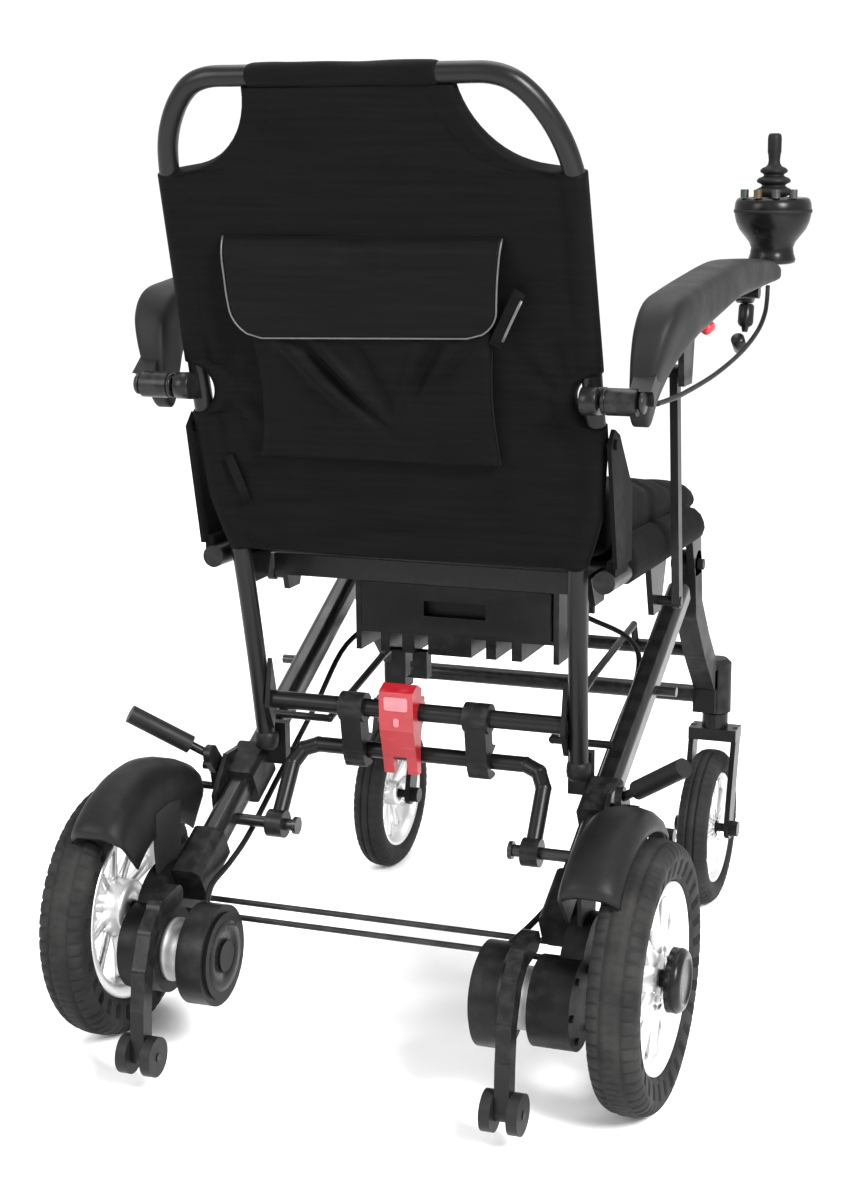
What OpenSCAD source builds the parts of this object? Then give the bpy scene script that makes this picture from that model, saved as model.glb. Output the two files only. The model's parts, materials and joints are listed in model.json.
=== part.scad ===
// Folding power wheelchair. It stands on the floor plane and faces -Y, and +X is the user's left.
// Heights are above the floor. "f" is the distance forward of the rear axle.

/* [Wheels] */
// Rear tyre diameter
rear_d = 254; // [250:1:258]
// Rear tyre width
rear_w = 48; // [44:1:50]
// Caster tyre diameter
caster_d = 180; // [174:1:182]
// Caster tyre width
caster_w = 35; // [30:1:37]
// Slots through the rear tyre sidewall
rear_slots = 30; // [20:1:34]

/* [Backrest] */
// Backrest tube diameter
back_tube_d = 19; // [17:1:20]
// Depth of the backrest upholstery
fabric_t = 23; // [22:1:24]

/* [Seat] */
// Half width of the seat cushion
seat_half = 203; // [185:1:204]
// Seat rail diameter
rail_d = 22; // [20:1:26]

/* [Controls] */
// Joystick knob diameter
knob_d = 15; // [13:1:18]
// Button diameter
button_d = 9; // [7:1:10]

/* [Hidden] */
$fn = 40;
axle_y = 246;
rear_r = rear_d / 2;
rear_x = 272;
caster_r = caster_d / 2;
caster_x = 198;
caster_f = 555;
stem_f = 585;
tube_x = 190;
tube_slope = 27.65;
gear_f = -50;
gear_z = 112;
axle_d = 16;
run = 0.1;
stay_f = 85;
stay_z = 203;
bar_f = 138;
bar_z = 274;
hinge_f = 79;
hinge_z = 605;
foot_f = 134;
foot_z = 272;
recline = 9.44;
cross_f = 126;
cross_z = 321;
rail_x = 202;
rail_z = 470;
arm_f = 42;
arm_z = 649;
arm_x = 248;
strut_f = 283;
strut_z = 417;
stick_f = 577;
stick_z = 792;
stick_x = 252;

function at(x, f, z) = [x, axle_y - f, z];

// A round bar between two points
module rod(a, b, d) {
    v = b - a;
    l = norm(v);
    translate(a) rotate([0, acos(v[2] / l), atan2(v[1], v[0])]) cylinder(d = d, h = l);
}

// A round tube through a list of points, with ball corners
module pipe(pts, d) {
    for (i = [0 : len(pts) - 2]) rod(pts[i], pts[i + 1], d);
    for (i = [1 : len(pts) - 2]) translate(pts[i]) sphere(d = d + 0.6);
}

// A round pin across the chair
module pin(x1, x2, f, z, d) {
    translate(at(x1, f, z)) rotate([0, 90, 0]) cylinder(d = d, h = x2 - x1);
}

// A flat plate in the side plane, outlined by [f, z] points
module plate(x, t, pts) {
    translate([x, axle_y, 0]) rotate([90, 0, 90]) linear_extrude(t)
        polygon([for (p = pts) [-p[0], p[1]]]);
}

// Round-cornered bars in the side plane along [f, z] points
module bars(x, t, pts, w) {
    translate([x, axle_y, 0]) rotate([90, 0, 90]) linear_extrude(t) {
        for (i = [0 : len(pts) - 2]) {
            a = [-pts[i][0], pts[i][1]];
            b = [-pts[i + 1][0], pts[i + 1][1]];
            v = b - a;
            translate(a) rotate(atan2(v[1], v[0])) translate([0, -w / 2]) square([norm(v), w]);
        }
        for (p = pts) translate([-p[0], p[1]]) circle(d = w + 0.5);
    }
}

module round_rect(w, h, r) {
    square([w, h - 2 * r], center = true);
    square([w - 2 * r, h], center = true);
    for (i = [-1, 1], j = [-1, 1]) translate([i * (w / 2 - r), j * (h / 2 - r)]) circle(r);
}

module both() {
    children();
    mirror([1, 0, 0]) children();
}

// Turns a shape drawn about +Z so that its axis points to +X at a wheel centre
module wheel_at(x, f, z) {
    translate(at(x, f, z)) rotate([0, 90, 0]) children();
}

// ---- chassis ----
module along_tube(f) {
    translate(at(tube_x, f, 271 + tan(tube_slope) * (f - 200)))
        rotate([90 - tube_slope, 0, 0]) children();
}

module main_tubes() color("#26282b") both() {
    along_tube(2) linear_extrude(486) round_rect(24, 28, 8);
    pin(116, tube_x, stay_f, stay_z, 12);
    pin(112, 116, stay_f, stay_z, 18);
    pin(tube_x, 222, 300, 317, 10);
}

module cradles() color("#1b1c1e") both() {
    difference() {
        along_tube(116) linear_extrude(46) round_rect(36, 42, 6);
        along_tube(110) linear_extrude(60) round_rect(24, 28, 8);
    }
    translate(at(152, 158, 246)) cube([24, 12, 44]);
    pin(160, 172, 150, 262, 8);
}

module gearboxes() color("#1d1e20") both() {
    pin(204, 226, 0, rear_r, 108);
    pin(186, 226, gear_f, gear_z, 84);
    plate(204, 20, [[0, rear_r + 50], [gear_f, gear_z + 38], [gear_f, gear_z - 38],
        [0, rear_r - 50]]);
    difference() {
        along_tube(-8) linear_extrude(62) round_rect(34, 40, 8);
        along_tube(2) linear_extrude(80) round_rect(24, 28, 8);
    }
    pin(204, 303, 0, rear_r, axle_d);
    for (a = [0 : 60 : 300])
        pin(226, 229, gear_f + 33 * cos(a), gear_z + 33 * sin(a), 7);
}

module motors() color("#151617") both() {
    pin(160, 186, gear_f, gear_z, 58);
    pin(134, 160, gear_f, gear_z, 98);
    pin(131, 134, gear_f, gear_z, 84);
    pin(129, 131, gear_f, gear_z, 30);
}

module rear_tie_rods() color("#2a2b2d") {
    pin(-204, 204, 26, 138, 6);
    pin(-204, 204, 10, 128, 6);
}

module fender_section(o) {
    difference() {
        translate([112, 0]) round_rect(2 * (41 - o), 2 * (29 - o), 18 - o);
        translate([50, -50]) square([42 - o, 100]);
        translate([50, 2 + o]) square([83 - o, 60]);
    }
}

module fenders() color("#17181a") both() {
    difference() {
        wheel_at(243, 0, rear_r) rotate([0, 0, 137]) rotate_extrude(angle = 81)
            fender_section(0);
        wheel_at(243, 0, rear_r) rotate([0, 0, 130]) rotate_extrude(angle = 110)
            fender_section(3);
    }
    plate(213, 5, [[-22, 170], [22, 170], [26, 240], [-26, 240]]);
}

module anti_tip_arms() color("#191a1c") both() {
    bars(173, 14, [[-92, 168], [-112, 150], [-126, 118], [-131, 84], [-134, 38]], 17);
    pin(161, 199, -134, 38, 8);
    bars(173, 14, [[-92, 168], [-62, 172]], 20);
}

module brake_brackets() color("#222325") both() {
    plate(202, 5, [[86, 196], [150, 230], [146, 262], [112, 262], [82, 226]]);
    pin(202, 232, 118, 246, 9);
    for (q = [[98, 222], [138, 244]]) pin(207, 211, q[0], q[1], 10);
}

module front_legs() color("#1e2022") both() {
    bars(180, 24, [[462, 420], [470, 368], [512, 316], [560, 268]], 30);
    pin(174, 210, 462, 420, 12);
}

module front_crossbars() color("#232426") {
    pin(-180, 180, 507, 312, 16);
    pin(-180, 180, 556, 248, 20);
    both() {
        pipe([at(122, 192, 286), at(122, 340, 318), at(122, 498, 338), at(122, 507, 316)], 8);
        pin(122, 184, 192, 286, 8);
        translate(at(122, 192, 286)) sphere(d = 8.6);
    }
}

module caster_housings() color("#1b1c1e") both() {
    difference() {
        union() {
            translate(at(caster_x, stem_f, 222)) cylinder(d = 36, h = 58);
            translate(at(178, stem_f - 4, 226)) cube([26, 26, 50]);
            translate(at(caster_x, stem_f, 280)) cylinder(d1 = 36, d2 = 26, h = 5);
        }
        translate(at(caster_x, stem_f, 200)) cylinder(d = 12 + run, h = 74);
    }
}

module seat_frame() color("#202224") {
    both() {
        pipe([at(rail_x, 92, 472.4), at(rail_x, 250, 469), at(rail_x, 440, 464.7)], rail_d);
        plate(196, 8, [[424, 470], [470, 470], [478, 408], [448, 408]]);
        plate(rail_x - 3, 6, [[248, 470], [322, 470], [296, 404], [268, 404]]);
        pin(rail_x, 230, strut_f, strut_z, 10);
        plate(176, 6, [[118, 470], [176, 470], [164, 440], [134, 440]]);
    }
    pin(-rail_x, rail_x, 434, 466, 18);
    pin(-rail_x, rail_x, 176, 471, 18);
    translate([-186, axle_y - 445, 474]) cube([372, 271, 4]);
    translate([-174, axle_y - 182, 440]) cube([348, 6, 36]);
}

module hinge_cheeks() color("#141516") both() {
    difference() {
        plate(211, 4, [[92, 486], [142, 486], [142, 556], [96, 612], [79, 619], [66, 606]]);
        pin(200, 220, hinge_f, hinge_z, 10);
    }
    pin(184, 218, hinge_f, hinge_z, 10);
    plate(203.5, 8.5, [[96, 472], [140, 472], [140, 492], [96, 492]]);
}

module seat_cushion() color("#17181a") {
    translate([-seat_half, axle_y, 0]) rotate([90, 0, 90]) linear_extrude(2 * seat_half)
        polygon([for (p = [[124, 486], [124, 552], [136, 562], [160, 560], [450, 511],
            [484, 504], [503, 490], [508, 478], [500, 470], [486, 486]]) [-p[0], p[1]]]);
}

module battery_tray() color("#9a9da0") {
    for (q = [[74, 10], [46, 14], [-17, 48], [-44, 11], [-72, 11]])
        translate(at(q[0], 352, 350)) cube([q[1], 108, 24]);
    for (x = [34, 58]) translate(at(x, 262, 322)) cube([16, 14, 29]);
    for (x = [-112, 106]) translate(at(x, 352, 350)) cube([6, 108, 124]);
    translate(at(-112, 352, 370)) cube([224, 108, 4]);
}

module battery_pack() color("#131415") {
    difference() {
        translate(at(-104, 350, 375)) cube([208, 110, 50]);
        translate(at(-34, 252, 392)) cube([68, 20, 16]);
    }
    translate(at(-104, 344, 425)) cube([208, 96, 8]);
}

module controller_box() color("#18191b") {
    translate(at(-60, 468, 388)) cube([120, 62, 42]);
    for (x = [-40, -14, 12]) translate(at(x, 478, 398)) cube([20, 10, 16]);
    both() translate(at(30, 460, 430)) cube([20, 40, 44]);
}

module footrest_hanger() color("#222426") {
    difference() {
        union() {
            for (x = [-62, 38]) pin(x, x + 24, 507, 312, 24);
            for (x = [-56, 46]) bars(x, 10, [[507, 312], [530, 350], [530, 440]], 12);
        }
        pin(-90, 90, 507, 312, 16 + run);
    }
}

module footplate() color("#1d1e20") {
    translate([-64, axle_y - 542, 338]) cube([128, 6, 118]);
    for (z = [350 : 18 : 440]) translate([-58, axle_y - 544, z]) cube([116, 3, 5]);
}

// ---- wheels ----
module rear_tyre() {
    wheel_at(rear_x, 0, rear_r) difference() {
        rotate_extrude() translate([89 + (rear_r - 89) / 2, 0])
            round_rect(rear_r - 89, rear_w, 13);
        for (i = [1 : rear_slots]) rotate(i * 360 / rear_slots)
            translate([101, 0, -rear_w]) cylinder(d = 9, h = 2 * rear_w, $fn = 16);
    }
}

module rear_rim() {
    wheel_at(rear_x, 0, rear_r) difference() {
        union() {
            rotate_extrude() translate([82, 0]) square([14, 38], center = true);
            for (i = [0 : 9]) rotate(i * 36) translate([24, -5, -7]) cube([54, 10, 14]);
            translate([0, 0, -20]) cylinder(d = 56, h = 44);
            translate([0, 0, -3]) cylinder(d = 84, h = 6);
        }
        translate([0, 0, -40]) cylinder(d = axle_d + run, h = 80);
    }
}

module hub_cap() {
    wheel_at(296, 0, rear_r) difference() {
        union() {
            cylinder(d = 60, h = 11);
            translate([0, 0, 11]) cylinder(d1 = 60, d2 = 50, h = 4);
        }
        translate([0, 0, -1]) cylinder(d = axle_d + run, h = 9);
    }
}

module caster_tyre() {
    wheel_at(caster_x, caster_f, caster_r) rotate_extrude()
        translate([64 + (caster_r - 64) / 2, 0]) round_rect(caster_r - 64, caster_w, 10);
}

module caster_rim() {
    wheel_at(caster_x, caster_f, caster_r) difference() {
        union() {
            rotate_extrude() translate([60, 0]) square([8, 28], center = true);
            for (i = [0 : 11]) rotate(i * 30) translate([0, -2, -5]) cube([58, 4, 10]);
            translate([0, 0, -20]) cylinder(d = 30, h = 40);
        }
        translate([0, 0, -30]) cylinder(d = 10 + run, h = 60);
    }
}

module caster_fork() {
    bars(caster_x - 28, 6, [[stem_f, 192], [caster_f, caster_r]], 24);
    bars(caster_x + 22, 6, [[stem_f, 192], [caster_f, caster_r]], 24);
    translate(at(caster_x - 28, stem_f + 15, 189)) cube([56, 30, 14]);
    translate(at(caster_x, stem_f, 202)) cylinder(d = 30, h = 18);
    translate(at(caster_x, stem_f, 218)) cylinder(d = 12, h = 54);
    pin(caster_x - 36, caster_x + 36, caster_f, caster_r, 10);
    pin(caster_x - 37, caster_x - 28, caster_f, caster_r, 18);
    pin(caster_x + 28, caster_x + 37, caster_f, caster_r, 18);
}

module anti_tip_rollers() {
    for (x = [162, 187.5]) difference() {
        pin(x, x + 10.5, -134, 38, 38);
        pin(x - 1, x + 12, -134, 38, 8 + run);
    }
    difference() {
        pin(170, 172.5, -134, 38, 14);
        pin(169, 174, -134, 38, 8 + run);
    }
}

// ---- park brakes ----
module brake_lever() {
    difference() {
        union() {
            bars(214, 7, [[124, 222], [118, 246], [104, 262]], 20);
            rod(at(217, 106, 260), at(258, 84, 288), 9);
            pin(216, 264, 124, 222, 8);
            pin(242, 266, 124, 222, 14);
        }
        pin(210, 226, 118, 246, 9 + run);
    }
}

module brake_grip() {
    difference() {
        rod(at(236, 96, 273), at(288, 66, 309), 19);
        rod(at(217, 106, 260), at(258, 84, 288), 9);
    }
}

// ---- backrest ----
module backrest_frame() color("#1c1d1f") {
    both() difference() {
        union() {
            pipe([at(167, foot_f, foot_z), at(175, 99, 484), at(190, 90.6, 535),
                at(197.5, hinge_f, hinge_z), at(195.5, 11, 853),
                at(181, -10, 892), at(169, -22, 914), at(152, -29, 929), at(132, -31, 935)],
                back_tube_d);
            bars(194, 16, [[68, 646], [arm_f, arm_z]], 26);
            pin(196, 249, arm_f, arm_z, 12);
            pin(249, 253, arm_f, arm_z, 20);
            translate(at(167, foot_f, foot_z)) sphere(d = back_tube_d + 5);
        }
        pin(160, 210, hinge_f, hinge_z, 10 + run);
    }
    pin(-132, 132, -31, 935, back_tube_d);
    both() translate(at(132, -31, 935)) sphere(d = back_tube_d + 0.6);
}

module backrest_crossbar() color("#1f2022") {
    pin(-160, 160, cross_f, cross_z, 18);
    both() plate(154, 5, [[cross_f - 4, cross_z + 44], [cross_f + 8, cross_z],
        [cross_f - 2, cross_z - 30], [cross_f - 14, cross_z - 6]]);
}

module hinge_plates() color("#17181a") both() difference() {
    union() {
        pin(53, 79, cross_f, cross_z, 30);
        bars(55, 22, [[cross_f - 3, cross_z - 4], [bar_f - 8, bar_z + 2]], 20);
        pin(55, 77, bar_f, bar_z, 34);
        pin(55, 77, bar_f - 6, bar_z - 10, 14);
    }
    pin(45, 90, cross_f, cross_z, 18);
    pin(45, 90, bar_f, bar_z, 18);
    plate(45, 45, [[bar_f, bar_z + 9], [bar_f + 30, bar_z + 26], [bar_f + 30, bar_z - 30],
        [bar_f, bar_z - 9]]);
}

module back_slab(f, z, tilt, pts) {
    translate(at(0, f, z)) rotate([90 - tilt, 0, 0]) translate([0, 0, -fabric_t / 2])
        linear_extrude(fabric_t) difference() {
            polygon(concat(pts, [for (i = [len(pts) - 1 : -1 : 0]) [-pts[i][0], pts[i][1]]]));
            if (tilt > 20) for (s = [-1, 1]) translate([s * 183, 83]) circle(82);
        }
}

module backrest_fabric() color("#101113") difference() {
    union() {
        back_slab(hinge_f, hinge_z, recline, [[176, -126], [190, -96], [202, -60], [208, 1]]);
        back_slab(hinge_f, hinge_z, 15.3, [[208.5, -1.5], [208, 150], [205, 254]]);
        back_slab(12, 851, 27, [[204, -5], [204, 30], [94, 104]]);
    }
    pin(-220, 220, hinge_f, hinge_z, 13);
}

module back_cushion() color("#131416") {
    translate(at(0, hinge_f, hinge_z)) rotate([74.7, 0, 0]) translate([0, 0, fabric_t / 2])
        linear_extrude(16) translate([0, 128]) round_rect(344, 210, 24);
}

module back_pocket() color("#141517") {
    translate(at(0, hinge_f, hinge_z)) rotate([74.7, 0, 0]) mirror([0, 0, 1])
        translate([0, 0, fabric_t / 2]) {
            translate([8, 40]) linear_extrude(8) round_rect(240, 116, 12);
            translate([10, 149]) linear_extrude(6) round_rect(271, 94, 12);
            translate([-146, 116]) rotate(-24) linear_extrude(10)
                square([14, 54], center = true);
        }
}

module fold_latch() color("#b3141f") {
    difference() {
        union() {
            pin(-5, 31, cross_f, cross_z, 30);
            plate(-5, 36, [[cross_f - 8, cross_z + 30], [cross_f - 22, cross_z + 24],
                [cross_f - 20, cross_z - 16], [bar_f - 24, bar_z + 2], [bar_f - 12, bar_z + 4],
                [cross_f + 2, cross_z - 12], [cross_f + 4, cross_z + 24]]);
            for (x = [-5, 20]) plate(x, 11, [[bar_f - 24, bar_z + 4], [bar_f - 20, bar_z - 16],
                [bar_f - 11, bar_z - 16], [bar_f - 12, bar_z + 4]]);
        }
        pin(-30, 60, cross_f, cross_z, 18 + run);
    }
}

module stay_frame() color("#202124") {
    pin(-112, 112, bar_f, bar_z, 16);
    both() difference() {
        union() {
            pipe([at(111, bar_f, bar_z), at(126, bar_f - 4, bar_z - 5),
                at(134, bar_f - 14, bar_z - 18), at(135, stay_f + 4, stay_z + 5)], 16);
            pin(126, 144, stay_f, stay_z, 28);
            translate(at(111, bar_f, bar_z)) sphere(d = 16.6);
        }
        pin(116, 154, stay_f, stay_z, 12 + run);
    }
}

// ---- armrests ----
module arm_frame() {
    difference() {
        union() {
            pin(218, 246, arm_f, arm_z, 25);
            bars(238, 20, [[arm_f, arm_z], [96, 690], [330, 724], [498, 728]], 18);
            plate(232, 6, [[236, 712], [290, 716], [276, 640], [244, 640]]);
        }
        pin(200, 270, arm_f, arm_z, 12 + run);
        pin(246, 270, arm_f, arm_z, 20.4);
    }
    pin(238, 262, 470, 716, 14);
}

module arm_pad() {
    difference() {
        translate([232, axle_y, 0]) rotate([90, 0, 90]) linear_extrude(44)
            polygon([for (p = [[66, 622], [56, 640], [56, 690], [66, 716], [92, 736],
                [140, 742], [330, 757], [470, 750], [512, 742], [522, 734], [520, 727],
                [500, 725], [330, 720], [200, 704], [150, 696], [118, 684], [100, 664],
                [94, 640], [92, 628]])
                [-p[0], p[1]]]);
        bars(216, 42, [[arm_f, arm_z], [96, 690]], 18.4);
        bars(237.8, 20.4, [[96, 690], [330, 724], [498, 728]], 18.4);
        bars(216, 64, [[-20, 640], [arm_f, arm_z]], 34);
        pin(216, 280, arm_f, arm_z, 34);
        plate(216, 22.4, [[230, 714], [296, 718], [290, 640], [236, 640]]);
    }
}

module arm_strut() {
    difference() {
        bars(221, 8, [[strut_f, strut_z], [258, 653]], 14);
        pin(200, 240, strut_f, strut_z, 10 + run);
    }
    pin(228, 230.5, 258, 653, 12);
    pin(217, 222, 258, 653, 12);
}

// ---- joystick, drawn at the right armrest ----
module joystick_housing() color("#141517") {
    translate(at(-stick_x, stick_f, 0)) difference() {
        union() {
            translate([0, 0, stick_z - 49]) cylinder(d = 52, h = 12);
            translate([0, 0, stick_z - 43]) cylinder(d1 = 52, d2 = 92, h = 46);
            translate([0, 0, stick_z + 3]) cylinder(d = 92, h = 18);
            translate([0, 0, stick_z + 21]) cylinder(d1 = 92, d2 = 84, h = 5);
        }
        translate([0, 0, stick_z + 4]) cylinder(d = 50, h = 40);
        translate([-60, 0, stick_z + 14]) rotate([0, 90, 0]) cylinder(d = 5 + run, h = 120);
        for (a = button_angles) rotate(a) translate([36, 0, stick_z + 18])
            cylinder(d = button_d + 0.6, h = 20);
    }
    rod(at(-stick_x, stick_f, stick_z - 46), at(-stick_x, 506, 726), 18);
}
button_angles = [42, 74, 106, 138];

module joystick_gimbal() color("#3a3b3d") translate(at(-stick_x, stick_f, stick_z + 14)) {
    difference() {
        union() {
            cylinder(d = 40, h = 8, center = true);
            rotate([0, 90, 0]) cylinder(d = 5, h = 74, center = true);
        }
        cylinder(d = 24, h = 20, center = true);
        rotate([90, 0, 0]) cylinder(d = 4 + run, h = 60, center = true);
    }
}

module joystick_stick() color("#1a1b1d") translate(at(-stick_x, stick_f, stick_z + 14)) {
    rotate([90, 0, 0]) cylinder(d = 4, h = 38, center = true);
    cylinder(d = 8, h = 40);
    for (i = [0 : 2]) translate([0, 0, 13 + 9 * i]) {
        cylinder(d1 = 36 - 6 * i, d2 = 28 - 6 * i, h = 5);
        translate([0, 0, 5]) cylinder(d1 = 24 - 5 * i, d2 = 30 - 6 * i, h = 4);
    }
    translate([0, 0, 40]) cylinder(d1 = 12, d2 = knob_d, h = 14);
    translate([0, 0, 54]) cylinder(d = knob_d, h = 16);
    translate([0, 0, 70]) cylinder(d1 = knob_d, d2 = knob_d - 5, h = 4);
}

module control_button(i) {
    translate(at(-stick_x, stick_f, stick_z + 19.4)) rotate(button_angles[i])
        translate([36, 0, 0]) cylinder(d = button_d, h = 9);
}

// ---- cords ----
function spline(p, i, t) = let (a = p[max(i - 1, 0)], b = p[i], c = p[i + 1],
    d = p[min(i + 2, len(p) - 1)]) 0.5 * (2 * b + (c - a) * t
    + (2 * a - 5 * b + 4 * c - d) * t * t + (3 * b - a - 3 * c + d) * t * t * t);
function smooth(p, n) = concat([for (i = [0 : len(p) - 2], k = [0 : n - 1])
    spline(p, i, k / n)], [p[len(p) - 1]]);

module cord(points, d, n) {
    q = smooth(points, n);
    m = len(q);
    s = 8;
    verts = [for (i = [0 : m - 1]) let (
        v = q[min(i + 1, m - 1)] - q[max(i - 1, 0)],
        t = v / norm(v),
        u0 = cross([1, 0.2, 0.1], t),
        u = u0 / norm(u0),
        w = cross(t, u))
        for (k = [0 : s - 1]) q[i] + d / 2 * (u * cos(k * 360 / s) + w * sin(k * 360 / s))];
    polyhedron(verts, concat([[for (k = [s - 1 : -1 : 0]) k]],
        [for (i = [0 : m - 2], k = [0 : s - 1]) [i * s + k, i * s + (k + 1) % s,
            (i + 1) * s + (k + 1) % s, (i + 1) * s + k]],
        [[for (k = [0 : s - 1]) (m - 1) * s + k]]), convexity = 10);
}

joystick_route = [at(-252, 560, 716), at(-253, 552, 700), at(-254, 536, 686),
    at(-254, 500, 671), at(-253, 426, 656), at(-252, 313, 645), at(-250, 198, 640),
    at(-249, 140, 640), at(-248, 101, 641)];
motor_route = [at(50, 436, 388), at(80, 430, 362), at(140, 404, 346), at(168, 350, 326),
    at(168, 260, 278), at(168, 150, 221), at(168, 85, 187), at(168, 40, 172),
    at(164, -8, 166), at(154, -40, 158)];

module joystick_cable() color("#0e0f10") {
    cord(joystick_route, 5, 6);
}

module motor_cables() color("#0e0f10") both() cord(motor_route, 6, 6);

main_tubes();
cradles();
gearboxes();
motors();
rear_tie_rods();
fenders();
anti_tip_arms();
brake_brackets();
front_legs();
front_crossbars();
caster_housings();
seat_frame();
hinge_cheeks();
seat_cushion();
battery_tray();
battery_pack();
controller_box();
footrest_hanger();
footplate();
motor_cables();
color("#1a1b1c") rear_tyre();  // rear_tyre_left
color("#1a1b1c") mirror([1, 0, 0]) rear_tyre();  // rear_tyre_right
color("#b9bcbf") rear_rim();  // rear_rim_left
color("#b9bcbf") mirror([1, 0, 0]) rear_rim();  // rear_rim_right
color("#151618") hub_cap();  // hub_cap_left
color("#151618") mirror([1, 0, 0]) hub_cap();  // hub_cap_right
color("#1c1d1f") caster_fork();  // caster_fork_left
color("#1c1d1f") mirror([1, 0, 0]) caster_fork();  // caster_fork_right
color("#1a1b1c") caster_tyre();  // caster_tyre_left
color("#1a1b1c") mirror([1, 0, 0]) caster_tyre();  // caster_tyre_right
color("#b4b7ba") caster_rim();  // caster_rim_left
color("#b4b7ba") mirror([1, 0, 0]) caster_rim();  // caster_rim_right
color("#161719") anti_tip_rollers();  // anti_tip_rollers_left
color("#161719") mirror([1, 0, 0])  // anti_tip_rollers_right
    anti_tip_rollers();
color("#2a2b2e") brake_lever();  // brake_lever_left
color("#2a2b2e") mirror([1, 0, 0]) brake_lever();  // brake_lever_right
color("#121314") brake_grip();  // brake_grip_left
color("#121314") mirror([1, 0, 0]) brake_grip();  // brake_grip_right
backrest_frame();
backrest_crossbar();
hinge_plates();
backrest_fabric();
back_cushion();
back_pocket();
fold_latch();
stay_frame();
color("#1d1e20") arm_frame();  // arm_frame_left
color("#1d1e20") mirror([1, 0, 0]) arm_frame();  // arm_frame_right
color("#121315") arm_pad();  // arm_pad_left
color("#121315") mirror([1, 0, 0]) arm_pad();  // arm_pad_right
color("#232527") arm_strut();  // arm_strut_left
color("#232527") mirror([1, 0, 0]) arm_strut();  // arm_strut_right
joystick_housing();
joystick_gimbal();
joystick_stick();
color("#2f7d3a") control_button(0);  // power_button
color("#c9a227") control_button(1);  // horn_button
color("#8f9396") control_button(2);  // speed_up_button
color("#8f9396") control_button(3);  // speed_down_button
joystick_cable();
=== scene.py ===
import json
import math

import bmesh
import bpy
from mathutils import Matrix, Vector, noise


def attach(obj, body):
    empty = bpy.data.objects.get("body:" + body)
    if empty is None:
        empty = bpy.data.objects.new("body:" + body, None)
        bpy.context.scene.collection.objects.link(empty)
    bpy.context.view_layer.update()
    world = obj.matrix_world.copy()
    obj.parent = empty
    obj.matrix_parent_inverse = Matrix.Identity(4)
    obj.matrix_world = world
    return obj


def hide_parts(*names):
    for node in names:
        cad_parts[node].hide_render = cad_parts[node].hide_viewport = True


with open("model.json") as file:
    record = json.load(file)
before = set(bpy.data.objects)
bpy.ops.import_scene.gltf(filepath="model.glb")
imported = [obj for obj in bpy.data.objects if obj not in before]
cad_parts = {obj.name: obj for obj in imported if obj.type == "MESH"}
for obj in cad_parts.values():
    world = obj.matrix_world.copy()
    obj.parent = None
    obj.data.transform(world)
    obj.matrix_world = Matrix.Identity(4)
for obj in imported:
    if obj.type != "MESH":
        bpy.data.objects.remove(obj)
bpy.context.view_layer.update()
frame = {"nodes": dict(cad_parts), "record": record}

RECORD = frame["record"]
AXLE_Y = next(j for j in RECORD["behaviour"]["joints"]
              if j["name"] == "drive_wheel_left")["pos_m"][1]


def at(x, f, z):
    """A point from millimetres across, forward of the rear axle, and up."""
    return Vector((x / 1000, AXLE_Y - f / 1000, z / 1000))


# ---- camera ----
camera_data = bpy.data.cameras.new("camera")
camera_data.sensor_fit = "VERTICAL"
camera_data.sensor_height = 24
camera_data.lens = 43.35
camera = bpy.data.objects.new("camera", camera_data)
bpy.context.collection.objects.link(camera)
forward = Vector((0.3451, -0.9139, -0.2137)).normalized()
right = forward.cross(Vector((0, 0, 1))).normalized()
up = right.cross(forward)
ROLL = math.radians(-0.42)
tilted_right = right * math.cos(ROLL) + up * math.sin(ROLL)
tilted_up = tilted_right.cross(forward)
turn = Matrix((tilted_right, tilted_up, -forward)).transposed()
camera.matrix_world = Matrix.Translation(at(-745.1, -1814.7, 890.7)) @ turn.to_4x4()
bpy.context.scene.camera = camera

# ---- materials ----
MATS = {}


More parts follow.
